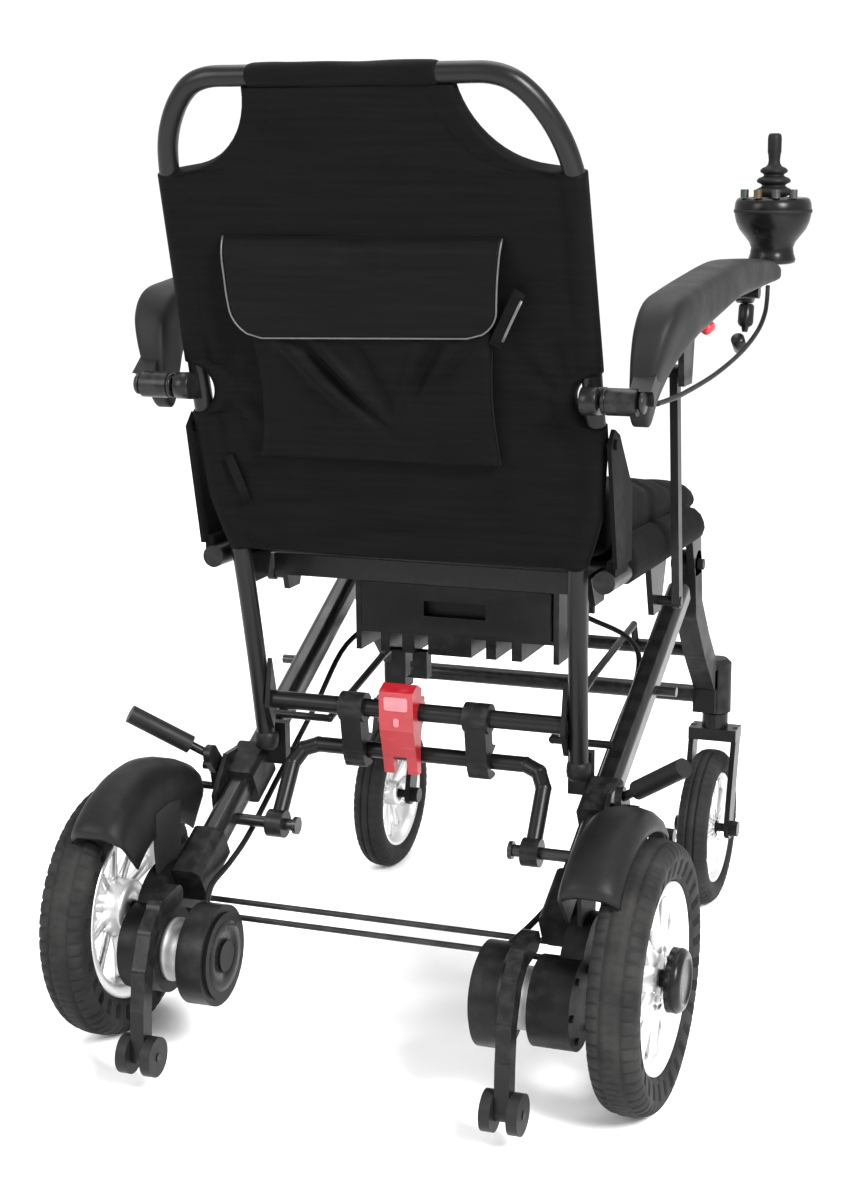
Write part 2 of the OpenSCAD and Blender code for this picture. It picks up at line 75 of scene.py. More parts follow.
class Nodes:
    """Short calls for building one material's node tree."""

    def __init__(self, name):
        self.material = bpy.data.materials.new(name)
        self.material.use_nodes = True
        self.tree = self.material.node_tree
        self.shader = self.tree.nodes["Principled BSDF"]
        self.coords = self.tree.nodes.new("ShaderNodeTexCoord").outputs["Object"]
        MATS[name] = self.material

    def node(self, kind, values=None, links=None, **settings):
        made = self.tree.nodes.new(kind)
        for key, value in settings.items():
            setattr(made, key, value)
        for key, value in (values or {}).items():
            made.inputs[key].default_value = value
        for key, source in (links or {}).items():
            self.tree.links.new(source, made.inputs[key])
        return made

    def feed(self, socket, source):
        """Sets a socket to a number or a colour, or links a node's output to it."""
        if isinstance(source, (int, float)):
            socket.default_value = source
        elif isinstance(source, tuple):
            socket.default_value = source + (1,)
        else:
            self.tree.links.new(source, socket)

    def noise(self, scale, detail=4.0, stretch=(1, 1, 1), rough=0.55):
        moved = self.node("ShaderNodeMapping", {"Scale": stretch}, {"Vector": self.coords})
        return self.node("ShaderNodeTexNoise", {"Scale": scale, "Detail": detail,
                         "Roughness": rough}, {"Vector": moved.outputs[0]}).outputs["Fac"]

    def wave(self, scale, direction, distortion=0.3):
        return self.node("ShaderNodeTexWave", {"Scale": scale, "Distortion": distortion,
                         "Detail": 1.0}, {"Vector": self.coords},
                         bands_direction=direction).outputs["Fac"]

    def ramp(self, source, stops):
        made = self.node("ShaderNodeValToRGB", links={"Fac": source})
        elements = made.color_ramp.elements
        while len(elements) < len(stops):
            elements.new(0.5)
        for element, (place, colour) in zip(elements, stops):
            element.position = place
            if not isinstance(colour, tuple):
                colour = (colour, colour, colour)
            element.color = colour + (1,)
        return made.outputs["Color"]

    def mix(self, factor, a, b, blend="MIX"):
        made = self.node("ShaderNodeMix", data_type="RGBA", blend_type=blend)
        for key, source in ((0, factor), (6, a), (7, b)):
            self.feed(made.inputs[key], source)
        return made.outputs[2]

    def math(self, operation, a, b):
        made = self.node("ShaderNodeMath", operation=operation)
        for key, source in ((0, a), (1, b)):
            self.feed(made.inputs[key], source)
        return made.outputs[0]

    def patches(self, scale, detail, low=0.0, high=1.0):
        """Soft patches of noise that run from low to high."""
        return self.ramp(self.noise(scale, detail), [(0.3, low), (0.7, high)])

    def edge(self):
        """Bright on outside edges, where paint and plastic wear."""
        geometry = self.tree.nodes.new("ShaderNodeNewGeometry")
        return self.ramp(geometry.outputs["Pointiness"], [(0.52, 0.0), (0.62, 1.0)])

    def finish(self, colour, roughness, height, strength, distance, **plain):
        """Links colour, roughness and bump, and sets the shader's plain values."""
        self.feed(self.shader.inputs["Base Color"], colour)
        self.feed(self.shader.inputs["Roughness"], roughness)
        bump = self.node("ShaderNodeBump", {"Strength": strength, "Distance": distance},
                         {"Height": height})
        self.tree.links.new(bump.outputs[0], self.shader.inputs["Normal"])
        for key, value in plain.items():
            self.shader.inputs[key.replace("_", " ")].default_value = value


def grey(value, warm=0.0):
    return (value * (1 + warm), value, value * (1 - warm))


def painted(name, base, low, high, worn=0.02, metallic=0.0, coat=0.15):
    """Satin paint with fine orange peel, dust in patches and rubbed edges."""
    n = Nodes(name)
    dust = n.ramp(n.noise(14, 5), [(0.35, 0.0), (0.7, 1.0)])
    colour = n.mix(dust, grey(base), grey(base * 1.18))
    rubbed = n.math("MULTIPLY", n.edge(), n.ramp(n.noise(90, 3), [(0.42, 0.0), (0.62, 1.0)]))
    colour = n.mix(n.math("MULTIPLY", rubbed, 0.5), colour, grey(worn))
    rough = n.patches(38, 5, low, high)
    n.finish(colour, rough, n.noise(1400, 2), 0.08, 0.0004, Metallic=metallic,
             Coat_Weight=coat, Coat_Roughness=0.35, Specular_IOR_Level=0.14)


painted("frame_paint", 0.0045, 0.26, 0.36, coat=0.04)
painted("cast_black", 0.0035, 0.38, 0.54, coat=0.02)
painted("motor_black", 0.0035, 0.34, 0.5, coat=0.04)
painted("rod_steel", 0.007, 0.3, 0.45, worn=0.03)


def make_carbon():
    n = Nodes("carbon")
    # A twill of two crossing diagonal bands, about 3 mm wide, under a satin clear coat.
    turned = n.node("ShaderNodeMapping", {"Rotation": (0.6, 0.0, 0.0)}, {"Vector": n.coords})
    waves = []
    for direction in ("Y", "Z"):
        waves.append(n.node("ShaderNodeTexWave", {"Scale": 95.0, "Distortion": 0.6},
                            {"Vector": turned.outputs[0]},
                            bands_direction=direction).outputs["Fac"])
    weave = n.math("GREATER_THAN", n.math("MULTIPLY", waves[0], waves[1]), 0.26)
    weave = n.math("MULTIPLY", weave, n.patches(30, 3, 0.45, 1.0))
    colour = n.mix(weave, grey(0.004), grey(0.010))
    rough = n.patches(25, 4, 0.26, 0.38)
    n.finish(colour, rough, weave, 0.05, 0.0003, Coat_Weight=0.25, Coat_Roughness=0.2,
             Specular_IOR_Level=0.3)


def make_plastic(name, base, low, high, grain=900, depth=0.12):
    """Moulded plastic: fine leather-like grain, slight scuffs and lighter rubbed edges."""
    n = Nodes(name)
    cells = n.node("ShaderNodeTexVoronoi", {"Scale": grain}, {"Vector": n.coords},
                   feature="SMOOTH_F1").outputs["Distance"]
    scuff = n.ramp(n.noise(60, 6, (1, 6, 1)), [(0.55, 0.0), (0.75, 1.0)])
    colour = n.mix(n.math("MULTIPLY", scuff, 0.35), grey(base), grey(base * 2.4 + 0.004))
    colour = n.mix(n.math("MULTIPLY", n.edge(), 0.25), colour, grey(base * 2 + 0.02))
    rough = n.patches(45, 4, low, high)
    n.finish(colour, rough, cells, depth, 0.0004, Specular_IOR_Level=0.14)


def make_fabric(name, base, thread, sheen, wrinkle=0.5, low=0.68, high=0.85):
    """Woven nylon: crossing threads, faint horizontal slubs, soft creases and lint."""
    n = Nodes(name)
    across = n.wave(thread, "X")
    along = n.wave(thread, "Z")
    weave = n.math("ADD", n.math("MULTIPLY", across, 0.5), n.math("MULTIPLY", along, 0.5))
    slub = n.noise(9, 6, (1.2, 1.2, 26))
    tone = n.math("ADD", n.math("MULTIPLY", weave, 0.25), n.math("MULTIPLY", slub, 0.75))
    colour = n.mix(n.ramp(tone, [(0.35, 0.0), (0.7, 1.0)]), grey(base), grey(base * 1.9))
    lint = n.ramp(n.noise(520, 2), [(0.72, 0.0), (0.8, 1.0)])
    colour = n.mix(n.math("MULTIPLY", lint, 0.12), colour, grey(0.08))
    creases = n.noise(16, 5, (1, 1, 1.6), 0.6)
    height = n.math("ADD", n.math("MULTIPLY", weave, 0.06), n.math("MULTIPLY", creases, wrinkle))
    height = n.math("ADD", height, n.math("MULTIPLY", slub, 0.2))
    rough = n.patches(22, 4, low, high)
    n.finish(colour, rough, height, 0.35, 0.004, Sheen_Weight=sheen, Sheen_Roughness=0.5,
             Specular_IOR_Level=0.035)


def make_vinyl():
    n = Nodes("pad_vinyl")
    cells = n.node("ShaderNodeTexVoronoi", {"Scale": 520.0}, {"Vector": n.coords},
                   feature="DISTANCE_TO_EDGE").outputs["Distance"]
    grain = n.ramp(cells, [(0.0, 0.0), (0.12, 1.0)])
    colour = n.mix(n.ramp(n.noise(18, 5), [(0.35, 0.0), (0.7, 1.0)]), grey(0.005), grey(0.0095))
    colour = n.mix(n.math("MULTIPLY", grain, 0.25), colour, grey(0.011))
    rough = n.patches(28, 5, 0.42, 0.58)
    n.finish(colour, rough, grain, 0.12, 0.0005, Specular_IOR_Level=0.12)


def make_rubber(name, base, low, high):
    n = Nodes(name)
    dust = n.ramp(n.noise(24, 6), [(0.4, 0.0), (0.72, 1.0)])
    colour = n.mix(dust, grey(base), grey(base * 2.1, 0.03))
    fine = n.noise(700, 3)
    rough = n.patches(50, 4, low, high)
    n.finish(colour, rough, fine, 0.14, 0.0005, Specular_IOR_Level=0.1)


def make_silver(name, base, low, high):
    """Cast and lacquered aluminium: fine sparkle, and painted shade that darkens the corners."""
    n = Nodes(name)
    grain = n.noise(650, 3)
    colour = n.mix(n.patches(12, 5), grey(base * 0.82), grey(base))
    geometry = n.tree.nodes.new("ShaderNodeNewGeometry")
    # Painted shade: concave corners, found by pointiness, are darkened to 0.45 of the colour.
    corner = n.ramp(geometry.outputs["Pointiness"], [(0.4, 0.45), (0.5, 1.0)])
    colour = n.mix(1.0, colour, corner, "MULTIPLY")
    rough = n.ramp(grain, [(0.3, low), (0.7, high)])
    n.finish(colour, rough, grain, 0.1, 0.0004, Metallic=0.75)


def make_red():
    n = Nodes("latch_red")
    worn = n.ramp(n.noise(70, 6, (1, 1, 3)), [(0.56, 0.0), (0.7, 1.0)])
    colour = n.mix(n.patches(12, 3),
                   (0.17, 0.002, 0.006), (0.27, 0.004, 0.010))
    colour = n.mix(n.math("MULTIPLY", worn, 0.3), colour, (0.45, 0.05, 0.06))
    rough = n.patches(40, 4, 0.3, 0.46)
    n.finish(colour, rough, n.noise(500, 3), 0.08, 0.0004, Coat_Weight=0.2, Coat_Roughness=0.3)


def make_coloured(name, colour):
    n = Nodes(name)
    darker = tuple(c * 0.7 for c in colour)
    cloud = n.patches(120, 3)
    rough = n.patches(300, 3, 0.35, 0.5)
    n.finish(n.mix(cloud, darker, colour), rough, n.noise(900, 2), 0.08, 0.0003)


make_carbon()
make_plastic("black_plastic", 0.004, 0.42, 0.56)
make_plastic("gloss_black", 0.004, 0.22, 0.34, 500, 0.03)
make_fabric("seat_fabric", 0.0018, 420, 0.01)
make_fabric("back_fabric", 0.0016, 420, 0.01, 1.0, 0.5, 0.7)
make_fabric("pocket_nylon", 0.002, 520, 0.01, 1.0, 0.34, 0.48)
make_vinyl()
make_rubber("tyre", 0.010, 0.6, 0.78)
make_rubber("cable_rubber", 0.006, 0.42, 0.55)
make_rubber("boot_rubber", 0.006, 0.45, 0.6)
make_silver("rim_silver", 0.72, 0.3, 0.46)
make_silver("tray_grey", 0.42, 0.38, 0.55)
make_silver("gimbal_metal", 0.5, 0.25, 0.4)
make_silver("bright_metal", 0.7, 0.18, 0.3)
make_red()
make_coloured("label_pale", (0.50, 0.14, 0.16))
make_coloured("piping", (0.05, 0.05, 0.055))
make_coloured("red_plastic", (0.55, 0.02, 0.03))
make_coloured("button_green", (0.008, 0.03, 0.012))
make_coloured("button_amber", (0.05, 0.03, 0.008))
make_coloured("button_grey", (0.02, 0.02, 0.022))

SLOT_OF = {part["node"]: part["material_slot"] for part in RECORD["subparts"]}
RECOLOURED = {"battery_tray": "frame_paint", "hinge_cheeks": "back_fabric"}
for node_name, node_object in frame["nodes"].items():
    node_object.data.materials.clear()
    name = RECOLOURED.get(node_name, SLOT_OF[node_name])
    node_object.data.materials.append(MATS[name])


# ---- mesh helpers ----
SIDES = (("left", 1), ("right", -1))


def angles(count):
    """Equal steps round a full turn."""
    return [2 * math.pi * i / count for i in range(count)]


def piece(name, points, faces, material, body, nodes=(), flat=False):
    """A new mesh piece that rides on a body and can stand for CAD nodes."""
    mesh = bpy.data.meshes.new(name)
    mesh.from_pydata([tuple(p) for p in points], [], faces)
    mesh.update()
    made = bpy.data.objects.new(name, mesh)
    bpy.context.collection.objects.link(made)
    mesh.materials.append(MATS[material])
    mesh.polygons.foreach_set("use_smooth", [not flat] * len(mesh.polygons))
    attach(made, body)
    if nodes:
        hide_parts(*nodes)
    return made


def loft(rings, loop=False):
    """Points and faces joining equal rings of points; loop joins the last to the first."""
    n = len(rings[0])
    points = [p for ring in rings for p in ring]
    faces = []
    for i in range(len(rings) if loop else len(rings) - 1):
        a = i * n
        b = (i + 1) % len(rings) * n
        for k in range(n):
            m = (k + 1) % n
            faces.append((a + k, a + m, b + m, b + k))
    if not loop:
        faces.append(tuple(range(n - 1, -1, -1)))
        faces.append(tuple(range((len(rings) - 1) * n, len(rings) * n)))
    return points, faces


def outward(made):
    """Turns every face of a closed piece to look outwards."""
    b = bmesh.new()
    b.from_mesh(made.data)
    bmesh.ops.remove_doubles(b, verts=b.verts, dist=1e-6)
    bmesh.ops.dissolve_degenerate(b, edges=b.edges, dist=1e-7)
    bmesh.ops.recalc_face_normals(b, faces=b.faces)
    b.to_mesh(made.data)
    b.free()
    return made


def lofted(name, rings, material, body, nodes=(), flat=False, loop=False):
    """A closed piece over rings of points."""
    points, faces = loft(rings, loop)
    return outward(piece(name, points, faces, material, body, nodes, flat))


def spline(points, steps):
    """A smooth curve through points, the same one as the CAD's cords."""
    out = []
    last = len(points) - 1
    for i in range(last):
        a, b = points[max(i - 1, 0)], points[i]
        c, d = points[i + 1], points[min(i + 2, last)]
        for k in range(steps):
            t = k / steps
            out.append(0.5 * (2 * b + (c - a) * t + (2 * a - 5 * b + 4 * c - d) * t * t
                              + (3 * b - a - 3 * c + d) * t ** 3))
    out.append(points[-1])
    return out


def tube(name, path, radius, material, body, sides, nodes=()):
    """A round bar along a path."""
    rings = []
    side = None
    for i, p in enumerate(path):
        along = (path[min(i + 1, len(path) - 1)] - path[max(i - 1, 0)]).normalized()
        if side is None:
            side = along.cross(Vector((0.1, 0.2, 1))).normalized()
        side = (side - along * side.dot(along)).normalized()
        other = along.cross(side)
        rings.append([p + (side * math.cos(a) + other * math.sin(a)) * radius
                      for a in angles(sides)])
    return lofted(name, rings, material, body, nodes)


def turned(name, centre, axis, profile, material, body, slot, sides=48, nodes=(), shape=None):
    """A lathe piece: profile is (radius, height) pairs along the axis from the centre."""
    axis = Vector(axis).normalized()
    side = axis.orthogonal().normalized()
    if abs(axis.x) > 0.9:
        side = Vector((0, 0, 1))
    other = axis.cross(side)
    rings = []
    for a in angles(sides):
        out = side * math.cos(a) + other * math.sin(a)
        ring = []
        for r, h in profile:
            if shape:
                r, h = shape(a, r, h)
            ring.append(centre + out * (r / 1000) + axis * (h / 1000))
        rings.append(ring)
    return lofted(name, rings, material, body, nodes, loop=True)


# ---- cords ----
def free_cord(name, points, diameter, body, nodes):
    """A round cable of a diameter in millimetres along a route, held at both ends."""
    path = spline([at(*p) for p in points], 6)
    made = tube(name, path, diameter / 2000, "cable_rubber", body, 10, nodes)


JOYSTICK_ROUTE = [(-252, 560, 716), (-253, 552, 700), (-254, 536, 686), (-254, 500, 671),
                  (-253, 426, 656), (-252, 313, 645), (-250, 198, 640), (-249, 140, 640),
                  (-248, 101, 641)]
MOTOR_ROUTE = [(50, 436, 388), (80, 430, 362), (140, 404, 346), (168, 350, 326),
               (168, 260, 278), (168, 150, 221), (168, 85, 187), (168, 40, 172),
               (164, -8, 166), (154, -40, 158)]
free_cord("joystick_cord", JOYSTICK_ROUTE, 5, "arm_right", ("joystick_cable",))
for side_name, sign in SIDES:
    route = [(x * sign, f, z) for x, f, z in MOTOR_ROUTE]
    free_cord("motor_cord_" + side_name, route, 6, "chassis", ("motor_cables",))


# ---- wheels ----
REAR_R = 127
REAR_TRACK, CASTER_TRACK = 272, 198
CASTER_F, CASTER_R = 555, 90
REAR_PROFILE = [(89, -15), (91, -18.5), (95, -20.8), (99, -22), (101.5, -22.6), (104, -23),
                (106.5, -23.4), (110, -23.9), (114, -23.9), (117.5, -23), (120, -21.6),
                (122, -19.8), (123.5, -17.6), (124.7, -15), (125.6, -12.4), (126, -10.2),
                (126.1, -9.4), (126.5, -8.6), (126.8, -6), (127, -3.4), (127, -2.6), (127, -1.2)]
REAR_PROFILE = REAR_PROFILE + [(127, 0)] + [(r, -h) for r, h in reversed(REAR_PROFILE)]


def rear_tread(angle, r, h):
    """Two grooves round the tread, scalloped shoulder blocks and slots near the bead."""
    off = abs(h)
    depth = 0.0
    if 8.6 <= off <= 10.3 and r > 120:
        depth = 2.2
    turn_share = (angle / (2 * math.pi) * 60) % 1
    if 10.3 < off < 23.95 and r > 112:
        gap = max(0.0, 1 - abs(turn_share - 0.5) / 0.17)
        depth = max(depth, 1.9 * min(1.0, gap * 1.6))
        depth -= 0.5 * math.cos(turn_share * 2 * math.pi) * (1 if off < 20 else 0.3)
        depth = max(depth, 0.0)
    if off < 8.0 and r > 120:
        chevron = (angle / (2 * math.pi) * 90 + off * 0.045) % 1
        depth = max(depth, 0.8 if chevron < 0.2 else 0.0)
    if 98.5 <= r <= 106.8 and off > 20:
        slot_share = (angle / (2 * math.pi) * 30) % 1
        if abs(slot_share - 0.5) < 0.17:
            return r, math.copysign(off - 6.0, h)
    return r - depth, h


def ring_profile(bead, top, half, grooves):
    """A plain caster tyre section: rounded, with fine grooves round it."""
    half_side = [(bead, -half * 0.72), (bead + 2, -half * 0.86), (bead + 6, -half * 0.97),
                 (bead + 11, -half), (top - 10, -half * 0.97), (top - 5, -half * 0.84),
                 (top - 2, -half * 0.64), (top - 0.7, -half * 0.44)]
    for g in grooves:
        half_side += [(top - 0.3, -g - 1.1), (top - 2, -g - 0.7), (top - 2, -g + 0.7),
                      (top - 0.1, -g + 1.1)]
    return half_side + [(top, 0)] + [(r, -h) for r, h in reversed(half_side)]


CASTER_PROFILE = ring_profile(64, 90, 17.5, (4.5,))


def caster_tread(angle, r, h):
    off = abs(h)
    share = (angle / (2 * math.pi) * 54) % 1
    if off > 7 and 78 < r < 90 and share < 0.24:
        return r - 1.2, h
    return r, h


for side_name, sign in SIDES:
    turned("rear_tyre_skin_" + side_name, at(sign * REAR_TRACK, 0, REAR_R), (1, 0, 0), REAR_PROFILE,
           "tyre", "rear_wheel_" + side_name, "tyre", 540, ("rear_tyre_" + side_name,),
           rear_tread)
    turned("caster_tyre_skin_" + side_name, at(sign * CASTER_TRACK, CASTER_F, CASTER_R),
           (1, 0, 0), CASTER_PROFILE, "tyre", "caster_wheel_" + side_name, "tyre", 324,
           ("caster_tyre_" + side_name,), caster_tread)


def rim_piece(name, centre, sign, body, node_name, outer, inner, hub, half, spokes, spoke_w):
    """A cast wheel: a rolled rim, tapered twin spokes that dish inwards, and a hub."""
    axis = Vector((sign, 0, 0))
    points, faces = [], []

    def add(new_points, new_faces):
        start = len(points)
        points.extend(new_points)
        faces.extend([tuple(start + i for i in face) for face in new_faces])

    def lathe(profile, sides):
        rings = []
        for a in angles(sides):
            out = Vector((0, math.sin(a), math.cos(a)))
            rings.append([centre + out * (r / 1000) + axis * (h / 1000) for r, h in profile])
        add(*loft(rings, loop=True))

    lathe([(outer, -half), (outer, half), (outer - 2, half + 0.4), (outer - 4, half - 0.6),
           (inner + 3, half - 3.5), (inner, half - 7), (inner - 0.6, 0), (inner, -half + 7),
           (inner + 3, -half + 3), (outer - 3, -half + 0.2)], 120)
    for a in angles(spokes):
        out = Vector((0, math.sin(a), math.cos(a)))
        across = Vector((0, math.cos(a), -math.sin(a)))
        rings = []
        for k in range(9):
            t = k / 8
            r = hub - 3 + (inner + 1.5 - hub + 3) * t
            w = spoke_w * (1.15 - 0.5 * math.sin(math.pi * t) + 0.25 * t)
            lift = half * (0.52 - 0.18 * math.sin(math.pi * t * 0.5))
            thick = half * (0.62 - 0.2 * t)
            section = [(-1, -1), (-1.1, 0), (-0.9, 0.7), (-0.45, 1), (0.45, 1), (0.9, 0.7),
                       (1.1, 0), (1, -1)]
            rings.append([centre + out * (r / 1000) + across * (u * w / 2000)
                          + axis * ((lift + v * thick / 2) / 1000) for u, v in section])
        add(*loft(rings))
    lathe([(9, -half + 2), (hub - 2, -half + 2), (hub, -half + 5), (hub, half * 0.5),
           (hub - 2, half * 0.72), (hub - 7, half * 0.8), (9, half * 0.8)], 60)
    return outward(piece(name, points, faces, "rim_silver", body, (node_name,)))


for side_name, sign in SIDES:
    rim_piece("rear_rim_cast_" + side_name, at(sign * REAR_TRACK, 0, REAR_R), sign,
              "rear_wheel_" + side_name, "rear_rim_" + side_name, 89, 76, 29, 18.5, 10, 11)
    rim_piece("caster_rim_cast_" + side_name, at(sign * CASTER_TRACK, CASTER_F, CASTER_R), sign,
              "caster_wheel_" + side_name, "caster_rim_" + side_name, 64, 57, 15, 13.5, 12, 6)
    turned("hub_cover_" + side_name, at(sign * 296, 0, REAR_R), (sign, 0, 0),
           [(8.05, 0), (30, 0), (30, 8.5), (29, 11), (26.5, 13.4), (23, 14.4), (21, 14.2),
            (20, 12.8), (8, 12.8), (5, 12.9), (0, 12.9), (0, 9), (8.05, 8.9)],
           "gloss_black", "rear_wheel_" + side_name, "black_plastic", 64,
           ("hub_cap_" + side_name,))
    for i in range(5):
        a = 2 * math.pi * (i + 0.5) / 5
        turned("lug_bolt_%s_%d" % (side_name, i),
               at(sign * 284, 22 * math.sin(a), REAR_R + 22 * math.cos(a)), (sign, 0, 0),
               [(0, 0), (3.6, 0), (3.6, 2.2), (2.8, 3), (0, 3)], "bright_metal",
               "rear_wheel_" + side_name, "rim_silver", 6)


# ---- back upholstery ----
def back_line(z):
    """Forward place of the middle of the sling at a height."""
    if z <= 605:
        return 79 + 0.1663 * (605 - z)
    if z <= 852:
        return 79 - 0.2742 * (z - 605)
    return 11.3 - 0.545 * (z - 852)


def back_tilt(z):
    return math.atan((back_line(z - 4) - back_line(z + 4)) / 8)


def on_back(x, z, proud):
    """A point near the sling; proud is millimetres out of its back face side."""
    a = back_tilt(z)
    return at(x, back_line(z) - proud * math.cos(a), z - proud * math.sin(a))


EDGE_TABLE = [(484, 185), (510, 194), (535, 201.5), (560, 204.5), (605, 209),
              (650, 209.5), (730, 208.5), (852, 207)]
CUT_X, CUT_Z, CUT_R = 183, 937, 83      # the round cut-outs at the top corners
TUBE_R = 11.5
NOTCH_X, NOTCH_Z, NOTCH_HALF, NOTCH_IN = 178, 647, 25, 27      # round the arm pivots
HEM = 27                                # from the edge to its line of stitches
SLING_LOW, BAR_F, BAR_Z = 484, -31, 935
ARM_PIVOT = (42, 649)


def edge_at(z):
    for (z0, w0), (z1, w1) in zip(EDGE_TABLE, EDGE_TABLE[1:]):
        if z <= z1:
            w = w0 + (w1 - w0) * (z - z0) / (z1 - z0)
            break
    off = abs(z - NOTCH_Z) / NOTCH_HALF
    if off < 1:
        w -= NOTCH_IN * math.sqrt(1 - off * off)
    return w


def fold(value, place, width):
    """A soft ridge or valley of height 1 at a place."""
    t = (value - place) / width
    return math.exp(-t * t)


def sling_depth(x, z, w):
    """How far the back face stands out, with the drape and creases of the nylon."""
    side = max(0.0, 1 - (w - abs(x)) / 34)
    proud = 7.2
    n = noise.noise(Vector((x * 0.012, z * 0.022, 1.3)))
    slow = noise.noise(Vector((x * 0.006, z * 0.009, 5.1)))
    proud += (2.2 * n + 2.0 * slow) * (1 - side)
    # Creases fan out from the arm pivots and run across the lower back.
    for sx in (-1, 1):
        d = math.hypot(x - sx * NOTCH_X, z - NOTCH_Z)
        a = math.atan2(z - NOTCH_Z, (x - sx * NOTCH_X) * -sx)
        proud += 2.6 * math.sin(a * 9 + sx) * math.exp(-abs(d - 42) / 34) * (1 - side)
    lower = max(0.0, min(1.0, (600 - z) / 90))
    proud += lower * 2.6 * math.sin(z * 0.16 + x * 0.018 + 2.5 * slow) * (1 - side)
    return proud - 1.2 * fold(w - abs(x), HEM, 1.3)


def wrapped(base, inset):
    """Half the sling's thickness: it goes round the tube at its edge, then lies flat."""
    if inset < TUBE_R:
        return math.sqrt(max(0.0, TUBE_R ** 2 - (TUBE_R - inset) ** 2))
    t = min(1.0, (inset - TUBE_R) / 16)
    return TUBE_R + (base - TUBE_R) * t * t * (3 - 2 * t)


def hemmed(base, inset):
    """Half the thickness where the edge is a plain hem, round the cut-outs."""
    return base * math.sqrt(max(0.0, 1 - max(0.0, 1 - inset / 5.0) ** 2))


def sling_ring(z, w, section):
    """One closed cross-section of the sling, from edge to edge and back."""
    count = 80
    spots = []
    for i in range(count + 1):
        u = -1 + 2 * i / count
        spots.append(u * (1.38 - 0.38 * u * u) * w)
    ring = [on_back(x, z, section(sling_depth(x, z, w), w - abs(x))) for x in spots]
    return ring + [on_back(x, z, -section(7.5, w - abs(x))) for x in reversed(spots[1:-1])]


def add_sling():
    rings = []
    # The bottom hem is rolled.
    for z, share in ((SLING_LOW - 2, 0.2), (SLING_LOW - 1.4, 0.7)):
        ring = sling_ring(SLING_LOW, edge_at(SLING_LOW), wrapped)
        middle = [on_back(p.x * 1000, z, 0) for p in ring]
        rings.append([m.lerp(p, share) for m, p in zip(middle, ring)])
        for p in rings[-1]:
            p.z = z / 1000
    rings += [sling_ring(z, edge_at(z), wrapped) for z in range(SLING_LOW, CUT_Z - CUT_R - 3, 3)]
    for step in range(14):
        a = math.radians(5 + step * 6)
        z = CUT_Z - CUT_R * math.cos(a)
        rings.append(sling_ring(z, CUT_X - CUT_R * math.sin(a), hemmed))
    # The sleeve closes round the top bar.
    bar = at(0, BAR_F, BAR_Z)
    last = rings[-1]
    for step in range(1, 4):
        ring = []
        for p in last:
            d = Vector((0, p.y - bar.y, p.z - bar.z))
            target = Vector((p.x, bar.y, bar.z)) + d.normalized() * 0.0112
            ring.append(p.lerp(target, step / 3 * 0.6))
        rings.append(ring)
    sling = lofted("back_sling", rings, "back_fabric", "backrest",
                   ("backrest_fabric",))


add_sling()


def add_sleeve():
    """The top of the sling, rolled round the top bar and stitched below it."""
    rings = []
    for i in range(61):
        x = -86 + 179 * i / 60
        ring = []
        swell = 1 + 0.05 * noise.noise(Vector((x * 0.03, 0, 0)))
        end = min(1.0, min(i, 60 - i) / 1.6)
        for a in angles(28):
            r = 11.2 * swell if end >= 1 else 9.9 + 1.3 * end
            r += 0.35 * math.sin(a * 3 + x * 0.05)
            ring.append(at(x, BAR_F + r * math.cos(a), BAR_Z + r * math.sin(a)))
        rings.append(ring)
    lofted("back_sleeve", rings, "back_fabric", "backrest")


add_sleeve()


# ---- pocket on the back ----
def cloth_patch(name, outline, surface, thick, material, columns, rows, nodes=()):
    """A closed sheet over an outline (x range by height share) on the back, with a hem."""
    front, back = [], []
    for j in range(rows + 1):
        v = j / rows
        for i in range(columns + 1):
            u = i / columns
            x, z = outline(u, v)
            proud = surface(x, z, u, v)
            rim = min(u, 1 - u, v, 1 - v)
            edge = min(1.0, rim / 0.02)
            front.append(on_back(x, z, proud - thick * 0.5 * (1 - math.sqrt(edge))))
            back.append(on_back(x, z, 11.0 if thick > 3 else proud - thick))
    stride = columns + 1
    total = len(front)
    faces = []
    for j in range(rows):
        for i in range(columns):
            a = j * stride + i
            faces.append((a, a + 1, a + stride + 1, a + stride))
            faces.append((total + a, total + a + stride, total + a + stride + 1, total + a + 1))
    border = list(range(stride)) + [j * stride + columns for j in range(1, rows + 1)]
    border += [rows * stride + i for i in range(columns - 1, -1, -1)]
    border += [j * stride for j in range(rows - 1, 0, -1)]
    for a, b in zip(border, border[1:] + border[:1]):
        faces.append((a, total + a, total + b, b))
    return outward(piece(name, front + back, faces, material, "backrest", nodes))


FLAP_LEFT, FLAP_RIGHT, FLAP_TOP, FLAP_BOTTOM = -127, 146, 795, 704
POUCH_LEFT, POUCH_RIGHT, POUCH_TOP, POUCH_BOTTOM = -112, 128, 712, 584


def flap_outline(u, v):
    z = FLAP_BOTTOM + (FLAP_TOP - FLAP_BOTTOM) * v
    corner = 28
    inset = 0.0
    if z < FLAP_BOTTOM + corner:
        d = (FLAP_BOTTOM + corner - z) / corner
        inset = corner * (1 - math.sqrt(max(0.0, 1 - d * d)))
    left = FLAP_LEFT + inset + 9 * (1 - v)
    right_edge = FLAP_RIGHT - inset - 4 * (1 - v)
    return left + (right_edge - left) * u, z + 5 * (1 - u) * (1 - v)


def flap_surface(x, z, u, v):
    """Where the flap's outside lies, over the pouch."""
    bulge = math.sin(math.pi * min(1.0, u * 1.02)) * math.sin(math.pi * v) ** 0.6
    creases = 2.2 * noise.noise(Vector((x * 0.02, z * 0.035, 3.1)))
    creases += 1.8 * fold(x + (z - FLAP_BOTTOM) * 0.9, 88, 14) - 1.6 * fold(x, -12, 8)
    return 24.0 - 14 * v ** 6 + 2.0 * bulge + creases * math.sin(math.pi * v) ** 0.5


